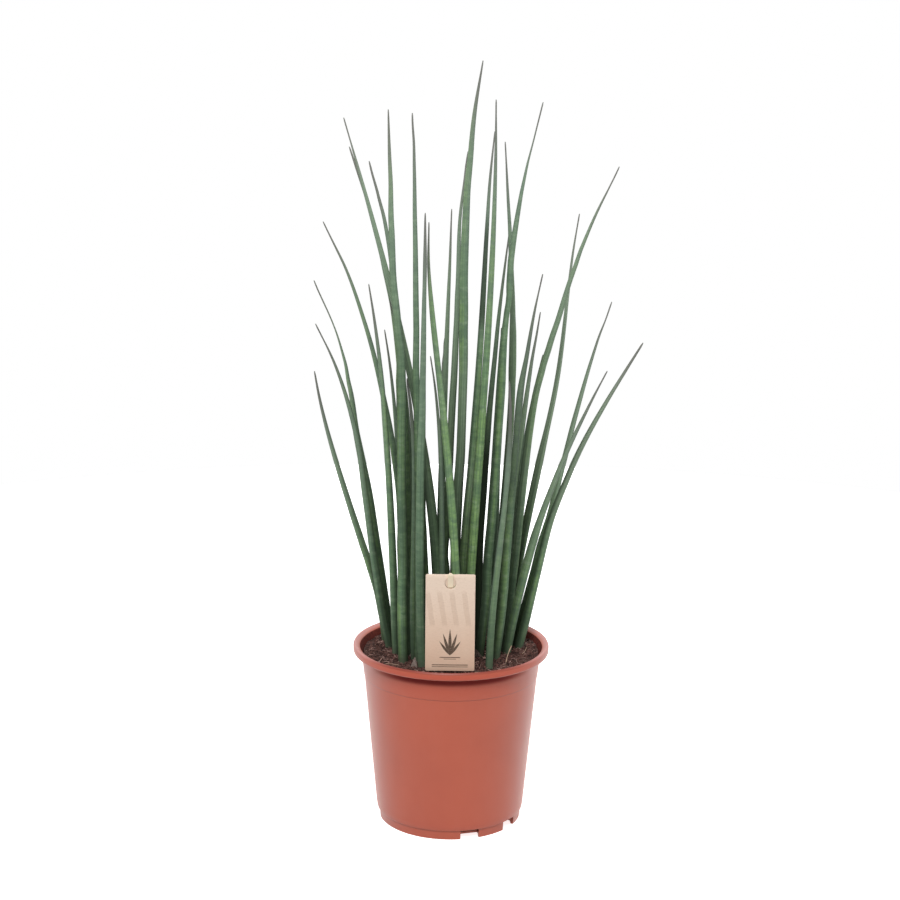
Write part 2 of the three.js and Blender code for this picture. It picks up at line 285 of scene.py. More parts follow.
# leaves
leafLook = {
    "sides": 40,
    "stations": 70,
    "packing": 1.25,         # above 1 the stations lie closer together towards the tip
    "start": 0.3,            # where the skin begins, in rings of the CAD leaf; the first one is buried
    "wide": 1.04,            # the skin's radius as a share of the CAD leaf's
    "channel": 0.14,         # depth of the groove down the inner side, as a share of the radius
    "channelWidth": 0.36,    # radians
    "fans": (-42, 4, 45),    # the three fans that the leaves face, across, in millimetres
    "fanEdge": 20,
    "fanBack": 6,
    "furrows": 5,
    "furrowGap": 4,          # sides that lie between two furrows at least
    "furrowDepth": 0.045,
    "swell": 0.02,           # slow thickening and thinning along the leaf
    "directions": 12,        # sides on which a leaf is measured for the shade its neighbours cast, which is painted on
    "nearest": 1.6,          # a neighbour counts as at least this many of its radii away
    "gloom": 1.3,            # how fast the painted shade grows with more of them
    "point": 3.2 * mm,       # dry point at the tip
    "pointRadius": 0.36 * mm,
    "pointCurve": 0.75,
    "thinnest": 0.62 * mm,   # radius below which a leaf doesn't taper, but for its point
    "apart": 997,            # millimetres between the mottling of two leaves
    "plainTones": (-0.35, 0.3),
    "seed": 699,
    # what follows goes by the leaf's number, as one value or as knots: height in millimetres and value
    "tonesAndShade": {               # a yellower green above 0, a darker one below, down to near-black painted shade on leaves in the clump's shadow
        2: -0.2, 5: 0.3, 12: -0.15, 16: 0, 17: 0, 19: 0.75, 30: 0.1, 33: 0.3,
        10: {185: 0.3, 240: -0.5, 420: -0.45, 480: -0.2, 550: 0.3},
        13: {210: -0.5, 300: -0.43, 380: -0.2},
        15: {240: -0.6, 300: -0.55, 380: -0.3},
        18: {290: 0.15, 380: 0.15, 440: 0},
        20: {400: 0.4, 445: -0.8, 505: -0.8, 540: -0.2},
        21: {330: 0.75, 430: 0.3, 480: -0.05},
        22: {200: -1, 250: -1.3, 300: -1.25, 350: -0.55, 420: -0.25},
        23: {160: -0.35, 240: -0.2, 280: 0.05},
        25: {210: -0.35, 320: -0.4, 380: -0.8},
        26: {210: 0.4, 260: -0.1, 310: -0.6, 430: -0.57, 470: -0.4},
    },
    "pale": {                # how much its bloom greys it
        1: 0.55, 2: 0.25, 3: 0.35, 6: 0.25, 14: 0.6, 27: 0.5, 30: 1.25, 31: 0.65, 32: 0.75, 33: 1.25,
        10: {500: 0, 560: 0.4},
        16: {350: 0, 390: 0.75},
        17: {300: 0.5, 350: 0.95, 410: 0.95, 480: 0.3},
        18: {260: 0.8, 370: 0.8, 430: 0},
        20: {200: 0.7, 290: 0.7, 340: 0},
        24: {330: 0.4, 380: 0.75, 440: 0.75, 480: 0.1},
        29: {220: 0.9, 300: 0.9, 350: 0.5},
    },
    "plump": {               # share of its radius
        5: 1.1,
        11: {290: 1.2, 320: 1.5, 365: 1.6},
        13: {470: 1, 500: 1.3},
        14: {290: 1.25, 330: 1.05, 440: 1.05, 460: 1.15, 560: 1.15, 590: 1},
        16: {380: 1.12, 430: 1},
        17: {340: 1, 365: 1.07, 400: 1.07, 430: 1},
        18: {290: 1, 330: 0.93, 390: 0.93, 420: 1},
        19: {400: 1, 450: 1.15, 500: 1},
        21: {340: 1, 380: 0.93},
        22: {330: 1.12, 360: 1},
        23: {380: 0.93, 404: 0.82, 421: 0.75, 440: 0.62, 455: 0.66, 473: 0.8, 520: 0.9},
        24: {370: 1, 395: 1.2, 420: 1.2, 440: 1},
        25: {290: 1, 330: 1.4},
        26: {340: 1.1, 380: 1.45, 420: 1.2, 480: 1.1},
        27: {380: 1.2, 430: 1.1},
        30: {300: 1.12, 345: 0.88, 500: 0.86, 540: 1},
        31: {200: 1.1, 250: 1.25, 280: 1.05, 310: 1},
    },
    "wanders": {             # sideways, in millimetres, off the leaf's even curve
        1: {150: 0, 173: 0.9, 197: 1.6, 219: 1, 242: 0.3, 264: 0},
        2: {200: 0, 242: -1, 286: -1, 340: 0.6, 395: 0.8, 440: 0},
        3: {197: -0.5, 264: -1, 330: -2.7, 373: 0.2, 395: 1.9, 416: 2.2, 460: 0},
        4: {240: 0, 260: 1.2, 285: 1.8, 330: 0.9, 372: -0.3, 430: 0, 477: 0.8, 500: 0.2},
        5: {242: -0.4, 352: -0.6, 400: 0},
        7: {345: 0, 372: 1.4, 395: 3.6, 438: 3.8, 480: 2.1, 521: 1, 562: 0},
        9: {430: 0, 477: 0.7, 500: 1.1, 520: 1.1, 541: 0.1, 562: -0.7},
        10: {200: 0, 242: 0.8, 300: 0, 350: 0.4, 385: 1.6, 412: 1.6, 438: -0.4, 480: -2.2, 521: -1.2,
            562: 0.3},
        11: {170: 1.2, 286: 1.4, 325: 1.8, 345: 1.6, 365: 1.3, 388: 0.8},
        12: {200: -0.6, 340: -1.2, 395: -1.8, 438: -0.8, 521: 0, 562: 0.5, 583: 0.65, 605: -0.1},
        13: {330: 0, 370: 0.7, 400: 0.4, 455: 0.3, 498: 0.6, 520: 0.6},
        14: {290: -0.4, 340: 0},
        16: {280: 0.6, 380: 0.6, 470: 0.3, 520: 0},
        17: {218: -0.4, 229: -2.2, 242: -2.3, 252: -0.6, 300: 0, 352: 0.2, 395: 0.7, 437: 0.4, 459: -0.2,
            521: -2.3, 562: -0.8, 583: 0.4},
        18: {242: -1.7, 286: -1, 330: 0.3, 390: 0.2, 438: -0.9, 480: -1.9, 542: -1.6, 583: -0.3},
        20: {264: -1.4, 309: -0.7, 460: -0.6, 542: -0.2},
        22: {200: -1, 242: -0.8, 290: 0.3, 395: 0.5, 440: 0},
        23: {178: 0.6, 200: 0.3, 222: -1.1, 242: -1.3, 265: -0.7, 330: 0, 380: 0.4, 421: 0, 440: 0.5,
            455: 1.5, 473: 0.4, 490: -0.5, 542: 0, 562: 0.4, 590: 1.3},
        24: {360: 0, 395: -0.5, 416: -0.6, 438: -0.8, 480: -1.2, 521: -0.7, 583: -0.2},
        26: {200: -0.8, 244: -1.2, 330: -0.9, 360: -1.4, 385: -1.6, 420: -0.2},
        27: {400: -0.3, 430: 0.3},
        29: {286: -1, 373: -1.6, 395: -0.4, 416: 0.9, 438: 1.9, 480: 0.8, 498: -0.1, 521: -0.4, 562: 0.8},
        30: {300: -0.8, 380: 0.7, 459: -0.4},
        31: {197: -0.3, 264: -0.9, 309: -0.3, 373: 0.8},
        32: {210: 0, 235: -0.5, 265: 1.2, 309: 0.8, 352: 0, 395: -0.4, 416: -0.4, 437: 0.6},
        33: {174: -1, 219: -1.1, 264: -2.1, 309: -0.4, 373: 0.6},
        34: {200: 0, 242: -1.2, 264: -2, 300: -1.5, 352: 0},
        35: {365: 0, 385: 1.6, 400: 3, 420: 4.8},
        37: {280: 0, 310: 1.8, 350: 3.2},
    },
}


def leafFinish():
    leaf = Finish("leafSkin", Specular_IOR_Level=0.15)
    at = leaf.carried("unbent")                                     # millimetres, the last along the leaf
    furrow, fromTip, toneAndShade = leaf.axes(leaf.carried("marks"))        # tenths of a metre from the tip
    fromFoot, shelterShade, pale = leaf.axes(leaf.carried("stand"))      # millimetres from the foot
    column = leaf.cloud(at, (0.16, 0.16, 0.0025), 2)           # broad stripes down the leaf
    streak = leaf.cloud(at, (0.5, 0.5, 0.006), 3, 0.6)
    fine = leaf.cloud(at, (1.6, 1.6, 0.05), 2)
    patch = leaf.cloud(at, (0.03, 0.03, 0.012), 2)
    bands = leaf.cloud(at, (0.1, 0.1, 0.26), 3, 0.55, 0.4)     # across the leaf
    close = leaf.cloud(at, (0.3, 0.3, 0.75), 2)
    wide = leaf.cloud(at, (0.05, 0.05, 0.07), 3, 0.6, 0.4)
    speck = leaf.cloud(at, (0.8, 0.8, 0.7), 3, 0.6)
    blueGreen = leaf.mix(patch.rise(0.3, 0.7), shade(97, 131, 92), shade(126, 157, 122))
    green = leaf.mix(fine.rise(0.35, 0.7), shade(110, 152, 68), shade(144, 180, 92))
    share = (column.rise(0.42, 0.58) * (0.35 + 0.9 * patch.rise(0.35, 0.65)) + 0.35 * toneAndShade).clamped()
    thin = (1 - fromTip.rise(0.3, 2.6)) * (0.45 - 0.3 * toneAndShade.clamped())
    dry = 1 - (fromTip + 0.3 * (patch - 0.5)).rise(0.05, 0.8)
    # painted shade where the neighbouring leaves hide a side
    paintedShade = shelterShade.rise(0.02, 0.75) * (0.5 + 0.3 * fromTip.rise(1, 3.5))
    skin = leaf.coats(
        leaf.mix(share * 0.9, blueGreen, green),
        ((1 - column).rise(0.54, 0.68) * 0.6, (68, 95, 66)),
        (streak.rise(0.55, 0.72) * 0.5, (68, 97, 62)),
        (bands.rise(0.46, 0.72) * 0.55, (58, 84, 57)),
        ((1 - bands).rise(0.5, 0.72) * 0.55, (162, 182, 147)),
        (close.rise(0.46, 0.74) * 0.35, (64, 89, 63)),
        (wide.rise(0.49, 0.64) * 0.6, (64, 92, 68)),
        (speck.rise(0.58, 0.76) * 0.45, (156, 174, 136)),
        (pale * fromFoot.rise(60, 190) * 0.7, (168, 186, 156)),
        # darker leaves towards near-black, partly painted shade
        ((toneAndShade * -0.8).clamped(), (16, 24, 14)),
        # painted shade in the furrows and the inner channel
        (furrow * 0.6, (36, 60, 36)),
        # painted shade, darker low on the leaf where the clump shades it
        ((1 - fromFoot.rise(0, 75)) * 0.55, (38, 56, 34)),
        ((1 - fromFoot.rise(1, 7 + 9 * fine)) * 0.75, (62, 54, 40)),          # soil on its foot
        ((1 - fromTip.rise(0.6, 9)) * 0.4, (126, 152, 128)),                  # greyer as it thins
        (thin, (128, 138, 130)),
        # painted shade deepening the darkest leaves to near-black
        (((toneAndShade + 0.4) * -1.4).clamped(), (16, 24, 14)),
        (dry * 0.8, (118, 114, 112)),
        # painted shade from the neighbouring leaves
        (paintedShade, (31, 43, 27)))
    leaf.feed(Base_Color=skin,
              Roughness=(0.44 + 0.2 * fine + 0.1 * bands + 0.1 * dry + 0.3 * shelterShade).clamped())
    leaf.relief(fine * 0.6 + bands * 0.6 + speck * 0.3, 0.22 * mm, 0.5)
    return leaf


def leafBlank(look):                  # a straight stem of unit size, cut into even rings
    bm = bmesh.new()
    bmesh.ops.create_cone(bm, cap_ends=True, cap_tris=False, segments=look["sides"],
                          radius1=1, radius2=1, depth=1)
    bmesh.ops.subdivide_edges(bm, edges=risers(bm, 0.5), cuts=look["stations"] - 1, use_grid_fill=True)
    return bm


def leafAt(rings, z):                 # middle and radius of a leaf at a height, or nothing above its tip
    low, tip = rings[1][0].z, rings[-1][0].z
    if z >= tip:
        return None
    middle, half = between(rings, 1 + max(0, (z - low) / (tip - low)) * (len(rings) - 2))
    return middle, half.x


def eased(knots, z):                  # from one knot to the next; a plain value holds all the way up
    if not isinstance(knots, dict):
        return knots
    points = list(knots.items())
    if z <= points[0][0]:
        return points[0][1]
    for (low, first), (high, second) in zip(points, points[1:]):
        if z <= high:
            t = (z - low) / (high - low)
            return first + (second - first) * t * t * (3 - 2 * t)
    return points[-1][1]


def shelterShadeRing(number, middle, look):          # how much each side of a leaf is hidden by the others, painted on as shade
    sides = look["directions"]
    lost = [0.0] * sides
    for other, rings in leafRings.items():
        found = leafAt(rings, middle.z)
        if found and other != number:
            away = found[0] - middle
            reach = max(math.hypot(away.x, away.y), look["nearest"] * found[1])
            for i in range(sides):
                turn = i / sides * math.tau
                facing = (away.x * math.cos(turn) + away.y * math.sin(turn)) / reach
                lost[i] += max(0, facing) * found[1] / reach
    return [1 - math.exp(-look["gloom"] * share) for share in lost]


def leafStations(number, look):       # middle, radius and length so far of each ring of the skin
    rings = leafRings[number]
    last = len(rings) - 1
    length = between(rings, look["start"])[0].z - rings[1][0].z
    before = None
    stations = []
    for k in range(look["stations"] + 1):
        toGo = 1 - k / look["stations"]
        s = look["start"] + (last - look["start"]) * (1 - toGo ** look["packing"])
        middle, half = between(rings, min(s, last))
        if before is not None:
            length += (middle - before).length
        before = middle.copy()
        z = middle.z / mm
        middle.x += eased(look["wanders"].get(number, 0), z) * mm
        radius = half.x * look["wide"] * eased(look["plump"].get(number, 1), z)
        stations.append((middle, max(radius, look["thinnest"]), length))
    return stations


def leafFrames(stations):             # two directions across the leaf at each station
    frames = []
    for k in range(len(stations)):
        ahead = stations[min(k + 1, len(stations) - 1)][0] - stations[max(k - 1, 0)][0]
        ahead.normalize()
        side = (Vector((1, 0, 0)) - ahead * ahead.x).normalized()
        frames.append((side, ahead.cross(side)))
    return frames


def furrowDepths(picks, look):        # by side of the leaf, spread round it
    sides = look["sides"]
    columns = []
    while len(columns) < look["furrows"]:
        column = picks.randrange(sides)
        if all(min((column - c) % sides, (c - column) % sides) > look["furrowGap"] for c in columns):
            columns.append(column)
    return {c: look["furrowDepth"] * picks.uniform(0.5, 1.2) for c in columns}


def growLeaf(blank, number, look, finish):
    picks = random.Random(look["seed"] + number)
    stations = leafStations(number, look)
    frames = leafFrames(stations)
    shelterShades = [shelterShadeRing(number, middle, look) for middle, _, _ in stations]
    whole = stations[-1][2]
    foot = leafRings[number][1][0]
    fan = look["fans"][(foot.x > -look["fanEdge"] * mm) + (foot.x > look["fanEdge"] * mm)]
    inward = math.atan2(look["fanBack"] * mm - foot.y, fan * mm - foot.x) + picks.uniform(-0.7, 0.7)
    depths = furrowDepths(picks, look)
    twist = picks.uniform(-0.25, 0.25)
    phase = picks.uniform(0, 6)
    tonesAndShade = look["tonesAndShade"].get(number, picks.uniform(*look["plainTones"]))
    pales = look["pale"].get(number, 0)
    offset = (number - 1) * look["apart"]

    bm = blank.copy()
    unbent, marks, stand = [bm.verts.layers.float_vector.new(key) for key in ("unbent", "marks", "stand")]
    for v in bm.verts:
        k = round((v.co.z + 0.5) * look["stations"])
        angle = math.atan2(v.co.y, v.co.x)
        furrow = depths.get(round(angle / math.tau * look["sides"]) % look["sides"], 0)
        middle, radius, length = stations[k]
        side, across = frames[k]
        t = length / whole
        toTip = whole - length
        if toTip < look["point"]:
            sharpen = (toTip / look["point"]) ** look["pointCurve"]
            radius = look["pointRadius"] + (radius - look["pointRadius"]) * sharpen
        waves = math.sin(length * 31 + phase) + math.sin(length * 73 + phase * 2)
        swell = 1 + look["swell"] * waves * (1 - t)
        away = (angle - inward + math.pi) % math.tau - math.pi
        channel = math.exp(-(away / look["channelWidth"]) ** 2)
        shape = swell * (1 - look["channel"] * (1 - 0.5 * t) * channel - furrow * min(1, toTip * 12))
        angle += twist * t
        v.co = middle + (side * math.cos(angle) + across * math.sin(angle)) * radius * shape
        v[unbent] = (radius / mm * math.cos(angle), radius / mm * math.sin(angle), length / mm + offset)
        v[marks] = (1 if furrow else 0.75 * channel ** 3, toTip * 10, eased(tonesAndShade, middle.z / mm))
        place = angle / math.tau % 1 * look["directions"]
        first = int(place) % look["directions"]
        second = (first + 1) % look["directions"]
        paintedShade = shelterShades[k][first] * (1 - place % 1) + shelterShades[k][second] * (place % 1)
        v[stand] = (length / mm, paintedShade, eased(pales, middle.z / mm))
    name = leafNames[number]
    return pieceFrom("skin_" + name, bm, [finish], [name])


leafSkin = leafFinish()
blank = leafBlank(leafLook)
leafNames = {int(name[-2:]): name for name in sorted(nodes) if name.startswith("leaf_")}
leafRings = {number: ringsOf(name) for number, name in leafNames.items()}
for leafNumber in leafNames:
    growLeaf(blank, leafNumber, leafLook, leafSkin)
blank.free()
print(len(leafNames), "leaves grown")


# pot
potLook = {
    "sides": 160,
    # radius, height and rounding of each corner of the section, from the middle of the underside out and up
    "section": [
        (0, 0.5, 0), (3.2, 0.5, 0.2), (3.6, 0, 0.2), (37.8, 0, 0.6), (38.4, 2.4, 0.7), (58.9, 2.4, 0.7),
        (59.4, 0, 0.6), (62.0, 0, 0.6), (62.5, 8.3, 0.5), (63.8, 8.3, 0.7), (64.5, 12.5, 0.6),
        (75.35, 129.7, 0.12), (75.75, 130.1, 0.12), (77.95, 150.2, 1.1), (83.6, 150.0, 0.9),
        (84.9, 151.0, 0.9), (85.0, 156.2, 1.3), (83.6, 157.4, 0.7), (80.0, 155.5, 0.8),
        (78.9, 154.2, 0.9), (76.6, 149.0, 1.2), (62.7, 9.9, 1.0), (60.9, 9.9, 0.9), (60.4, 4.2, 0.9),
        (40.1, 4.2, 0.9), (39.7, 1.8, 0.9), (0, 1.8, 0),
    ],
    "notches": [16.5, 56, 95, 196.5, 236, 275],      # degrees from the front, towards +X
    "notchWidth": 16.5,
    "notchDepth": 6.5,       # inwards from the foot's outer face
    "notchTop": 8.3,
    "notchCorner": 0.6,
    "innerTop": 154.4,       # the rim begins here on the inner face
    "footRadius": 62,
    "stepLine": 129.9,       # height of the fine step in the wall
}


def potFinish(name, inside):
    pot = Finish(name, Specular_IOR_Level=0.15 if inside else 0.5)
    at = pot.place()
    x, y, z = pot.axes(at)
    wide = pot.cloud(at, 0.018, 3)
    flow = pot.cloud(at, (0.12, 0.12, 0.012), 2)
    grain = pot.cloud(at, 1.4, 3, 0.6)
    dust = pot.cloud(at, 0.5, 4, 0.7)
    rough = 0.30 + 0.12 * wide + 0.06 * grain
    skin = pot.coats(
        pot.mix(wide.rise(0.3, 0.7), shade(184, 85, 60), shade(190, 90, 65)),
        (flow.rise(0.45, 0.75) * 0.06, (190, 104, 84)),
        (grain.rise(0.62, 0.8) * 0.1, (140, 62, 46)))
    if inside:
        # painted shade: the inner wall darkened to a deep maroon, unevenly
        skin = pot.coats(skin, (0.8 + 0.2 * dust.rise(0.45, 0.7), (60, 24, 26)))
        rough = rough + 0.4
    else:
        front = 1 - y.rise(-72, -30)
        # painted shadow under the fine step in the wall
        stepShadow = 1 - abs(z - potLook["stepLine"]).rise(0.1, 0.7)
        # painted shadow under the lip, strongest at the front
        lipShadow = z.rise(141.5, 146) * (1 - z.rise(150.1, 150.9)) * (1 - y.rise(-70, -34))
        crest = z.rise(154.5, 157)
        skin = pot.coats(
            skin,
            (stepShadow * 0.4, (116, 48, 34)),
            # painted light: a redder orange on the front of the upper wall and lip
            (z.rise(126, 144) * (1 - z.rise(154, 155.5)) * front * 0.45, (184, 66, 40)),
            (lipShadow * 0.97, (116, 10, 2)),
            # painted shade on the crest at the front, damping its highlight
            (crest * front * 0.9, (124, 46, 32)),
            # painted sheen on the crest at the sides and back
            (crest * (1 - front) * 0.6, (196, 150, 148)))
        rough = rough + 0.5 * lipShadow + 0.1 * crest
    skin = pot.coats(
        skin,
        (dust.rise(0.66, 0.8) * (1 - z.rise(4, 26)) * 0.45, (120, 84, 66)),   # soil about the foot
        (dust.rise(0.7, 0.84) * z.rise(150, 157) * 0.3, (118, 72, 58)))       # and on the rim
    pot.feed(Base_Color=skin, Roughness=rough.clamped())
    pot.relief(grain * 0.5 + flow * 0.5, 0.12 * mm, 0.4)
    return pot


def roundedSection(corners):          # the section's points, with each corner eased by a short curve
    points = [Vector((r, 0, z)) for r, z, ease in corners]
    section = []
    for i, (point, (_, _, ease)) in enumerate(zip(points, corners)):
        if not ease:
            section.append(point)
            continue
        back = (points[i - 1] - point).normalized() * ease
        on = (points[i + 1] - point).normalized() * ease
        for t in (0, 0.25, 0.5, 0.75, 1):
            section.append(point + back * (1 - t) ** 2 + on * t ** 2)
    return section


def makePot(look, outside, inside):
    bm = spun([p * mm for p in roundedSection(look["section"])], look["sides"])
    cutter = bmesh.new()
    tall = 2 * look["notchTop"] * mm
    out = Matrix.Translation((0, -look["footRadius"] * mm, 0))
    size = Matrix.Diagonal((look["notchWidth"] * mm, 2 * look["notchDepth"] * mm, tall, 1))
    for degrees in look["notches"]:
        bmesh.ops.create_cube(cutter, size=1, matrix=turned(math.radians(degrees)) @ out @ size)
    bevelled(cutter, risers(cutter, tall / 2), look["notchCorner"] * mm, 3)
    bm = cutAway(bm, cutter)
    bm.normal_update()
    for face in bm.faces:
        middle = face.calc_center_median()
        inward = -face.normal.xy.dot(middle.xy.normalized()) > 0.2
        face.material_index = int(inward and 5 * mm < middle.z < look["innerTop"] * mm)
    return pieceFrom("potShell", bm, [outside, inside], ["pot"], 38)


makePot(potLook, potFinish("potOutside", False), potFinish("potInside", True))
print("pot spun and notched")


# compost
compostLook = {
    "radius": 76,
    "rings": 58,
    "turns": 360,
    "bottom": 128,
    "level": 146,            # height in the middle, millimetres
    "climb": 3.5,            # how much higher it lies by the wall
    "humps": 0.75,
    "swells": 1.6,
    "lumps": 0.9,
    "dip": 1.6,              # round each leaf
    "crumbShapes": 8,
    "crumbRough": 0.22,
    "fibreShapes": 12,
    "tilt": 0.45,            # usual lean of the loose bits, radians
    "seed": 23,
    # number, least and most size in millimetres, rise, flatness, whether heaped round the leaf feet
    "crumbs": (3600, 0.7, 2.6, 0.15, 0.7, False),
    "chips": (420, 2.0, 4.6, 0.1, 0.4, False),
    "banks": (1500, 1.0, 3.4, 0.25, 0.8, True),
    "fibres": (1000, 3, 9, 0.08, 1.0, False),
}
feet = [(rings[1][0], rings[1][1].x) for rings in leafRings.values()]


def compostHeight(x, y):              # metres in and out
    look = compostLook
    u, v = x / mm, y / mm
    wide = (u * u + v * v) ** 0.5
    humps = math.sin(u / 9 + 1.3) * math.cos(v / 11 - 0.6) + 0.6 * math.sin((u - v) / 6.5)
    height = look["level"] + look["climb"] * (wide / 72) ** 3 + look["humps"] * humps
    height += look["swells"] * noise.noise(Vector((u / 13, v / 13, 3)))
    height += look["lumps"] * noise.fractal(Vector((u / 3.2, v / 3.2, 7)), 0.8, 2.2, 4)
    near = min((math.hypot(x - p.x, y - p.y) - r) / mm for p, r in feet)
    return (height - look["dip"] * math.exp(-max(near, 0) / 4)) * mm


def compostFinish():
    compost = Finish("compost", Specular_IOR_Level=0.25)
    at = compost.place()
    wide = compost.cloud(at, 0.08, 3)
    clump = compost.cloud(at, 0.45, 5, 0.7)
    dust = compost.cloud(at, 1.8, 4, 0.7)
    pick = compost.axes(compost.cells(at, 0.55))[0]
    skin = compost.coats(
        compost.mix(clump.rise(0.3, 0.7), shade(46, 30, 27), shade(84, 57, 50)),
        (pick.rise(0.55, 0.95) * 0.75, (122, 84, 76)),
        ((1 - pick).rise(0.78, 0.98) * 0.8, (32, 21, 20)),
        (dust.rise(0.6, 0.76) * 0.75, (186, 150, 138)),
        (wide.rise(0.35, 0.7) * 0.3, (66, 42, 36)))
    compost.feed(Base_Color=skin, Roughness=(0.82 + 0.16 * clump).clamped())
    compost.relief(clump + dust * 0.6, 0.7 * mm, 0.9)
    return compost


def fibreFinish():
    fibre = Finish("fibre", Specular_IOR_Level=0.3)
    at = fibre.place()
    pick = fibre.axes(fibre.cells(at, 0.2))[1]
    grain = fibre.cloud(at, 1.1, 3)
    skin = fibre.coats(fibre.mix(pick * pick, shade(92, 62, 54), shade(204, 166, 154)),
                       (grain.rise(0.4, 0.7) * 0.5, (66, 44, 38)))
    fibre.feed(Base_Color=skin, Roughness=(0.7 + 0.2 * grain).clamped())
    fibre.relief(grain, 0.2 * mm, 0.6)
    return fibre


def makeCompost(look, finish):
    reach, bottom = look["radius"] * mm, look["bottom"] * mm
    points = [(reach * k / look["rings"], 0, 0.15) for k in range(look["rings"] + 1)]
    bm = spun(points + [(reach - 1.4 * mm, 0, bottom), (0, 0, bottom)], look["turns"])
    for v in bm.verts:
        if v.co.z > bottom + 1e-4:
            v.co.z = compostHeight(v.co.x, v.co.y)
    return pieceFrom("compostBed", bm, [finish], ["soil"], 180)


def onCompost(picks, margin, clear):  # a free spot on the surface
    while True:
        x, y = picks.uniform(-75, 75) * mm, picks.uniform(-75, 75) * mm
        if math.hypot(x, y) < (compostLook["radius"] - margin) * mm and all(
                math.hypot(x - p.x, y - p.y) > r + clear * mm for p, r in feet):
            return Vector((x, y, compostHeight(x, y)))


def besideLeaf(picks, size):          # a spot against the foot of some leaf
    while True:
        foot, radius = picks.choice(feet)
        turn = picks.uniform(0, math.tau)
        reach = radius + (0.1 * size + abs(picks.gauss(0, 1.2))) * mm
        x, y = foot.x + reach * math.cos(turn), foot.y + reach * math.sin(turn)
        if math.hypot(x, y) < (compostLook["radius"] - size) * mm:
            return Vector((x, y, compostHeight(x, y)))


def scatter(name, shapes, kind, look, finish):
    count, least, most, sink, flat, banked = look[kind]
    picks = random.Random(look["seed"] + count)
    bm = bmesh.new()
    for _ in range(count):
        size = picks.uniform(0, 1) ** 2 * (most - least) + least
        spot = besideLeaf(picks, size) if banked else onCompost(picks, size * 0.7, size * 0.25)
        tilt = turned(picks.gauss(0, look["tilt"]), "X") @ turned(picks.gauss(0, look["tilt"]), "Y")
        scale = Matrix.Diagonal((size * mm, size * mm * picks.uniform(0.6, 1), size * mm * flat, 1))
        lift = Matrix.Translation(spot + Vector((0, 0, size * mm * flat * sink)))
        grown = picks.choice(shapes).copy()
        grown.transform(lift @ turned(picks.uniform(0, math.tau)) @ tilt @ scale)
        bm.from_mesh(grown)
        bpy.data.meshes.remove(grown)
    return pieceFrom(name, bm, [finish], sharp=50)


def crumbShape(picks, rough):
    bm = bmesh.new()
    bmesh.ops.create_icosphere(bm, subdivisions=1, radius=0.5)
    for v in bm.verts:
        v.co *= picks.uniform(1 - rough, 1 + rough)
    return meshFrom("crumb", bm)


def fibreShape(picks, steps=5):       # a bent thread, one unit long
    bm = bmesh.new()
    start = Matrix.Translation((-0.5, 0, 0)) @ turned(math.pi / 2, "Y")
    bmesh.ops.create_circle(bm, cap_ends=True, segments=4, radius=0.035, matrix=start)
    face = bm.faces[:]
    aside, up = picks.uniform(-0.5, 0.5), picks.uniform(0.0, 0.25)
    for k in range(steps):
        t = (k + 0.5) / steps
        after = extruded(bm, face, (1 / steps, aside * (1 - 2 * t) * 0.8, up * (1 - 2 * t)))
        bmesh.ops.delete(bm, geom=face, context="FACES_ONLY")
        face = after
    faceOut(bm)
    return meshFrom("fibre", bm)


compost = compostFinish()
makeCompost(compostLook, compost)
shapePicks = random.Random(compostLook["seed"])
crumbs = [crumbShape(shapePicks, compostLook["crumbRough"]) for _ in range(compostLook["crumbShapes"])]
for kind in ("crumbs", "chips", "banks"):
    scatter("compost" + kind.title(), crumbs, kind, compostLook, compost)
fibres = [fibreShape(shapePicks) for _ in range(compostLook["fibreShapes"])]
scatter("compostFibres", fibres, "fibres", compostLook, fibreFinish())
print("compost filled")


# dry remains: scales round some leaf feet, a loose one, and thin straws
litterLook = {
    "scales": {              # leaf: height in millimetres, the way it faces in degrees, half its spread
        1: (8, -60, 80), 6: (9, 40, 70), 9: (8, -40, 85), 15: (8, -60, 75), 23: (7, -140, 80),
        28: (9, 60, 80), 33: (8, -20, 80), 36: (11, 80, 70), 38: (9, 100, 75), 40: (11, 60, 70),
    },
    "scaleThickness": 0.25,
    "scaleGap": 0.35,        # from the leaf, and how much further at the tip
    "scaleFlare": 1.1,
    "ragged": 0.35,
    "seed": 41,
    # a scale that stands loose: place, length, half width, heading and slope in degrees
    "loose": ((-31.3, -38.5), 9.5, 2.7, 84, 58),
    "straws": [              # ends, height of the first end above the compost, radius, bow
        ((52.2, -12), (46.9, -32), 9.5, 0.36, 0.7), ((-57, 33), (-60, 22), 1, 0.3, 0.6),
        ((20, -58), (34, -52), 0.6, 0.24, 0.8), ((-44, -48), (-56, -38), 0.6, 0.22, 0.9),
        ((62, -8), (66, 8), 0.6, 0.26, 0.7), ((-10, 58), (8, 64), 0.6, 0.26, 0.9),
    ],
    "strawSteps": 14,
    "strawLift": 0.7,        # clear of the crumbs
}


def litterFinish(name, dark, pale):
    dry = Finish(name, Specular_IOR_Level=0.25)
    at = dry.place()
    grain = dry.cloud(at, (1.6, 1.6, 0.3), 4, 0.6)
    blot = dry.cloud(at, 0.18, 3, 0.6)
    skin = dry.coats(dry.mix(grain.rise(0.35, 0.65), dark, pale),
                     (blot.rise(0.5, 0.66) * 0.5, (86, 72, 64)))
    dry.feed(Base_Color=skin, Roughness=(0.6 + 0.25 * grain).clamped())
    dry.relief(grain, 0.15 * mm, 0.6)
    return dry


def scaleSheet(columns=10, rows=8):   # a pointed sheet, one unit high, its width running from -1 to 1
    bm = bmesh.new()
    bmesh.ops.create_grid(bm, x_segments=columns, y_segments=rows, size=1)
    for v in bm.verts:
        t = (v.co.y + 1) / 2
        v.co = Vector((v.co.x * (1 - 0.85 * t ** 1.4), 0, t))
    return bm


def thicken(bm, thickness):
    mend(bm)
    bmesh.ops.solidify(bm, geom=bm.faces[:], thickness=thickness)
    faceOut(bm)


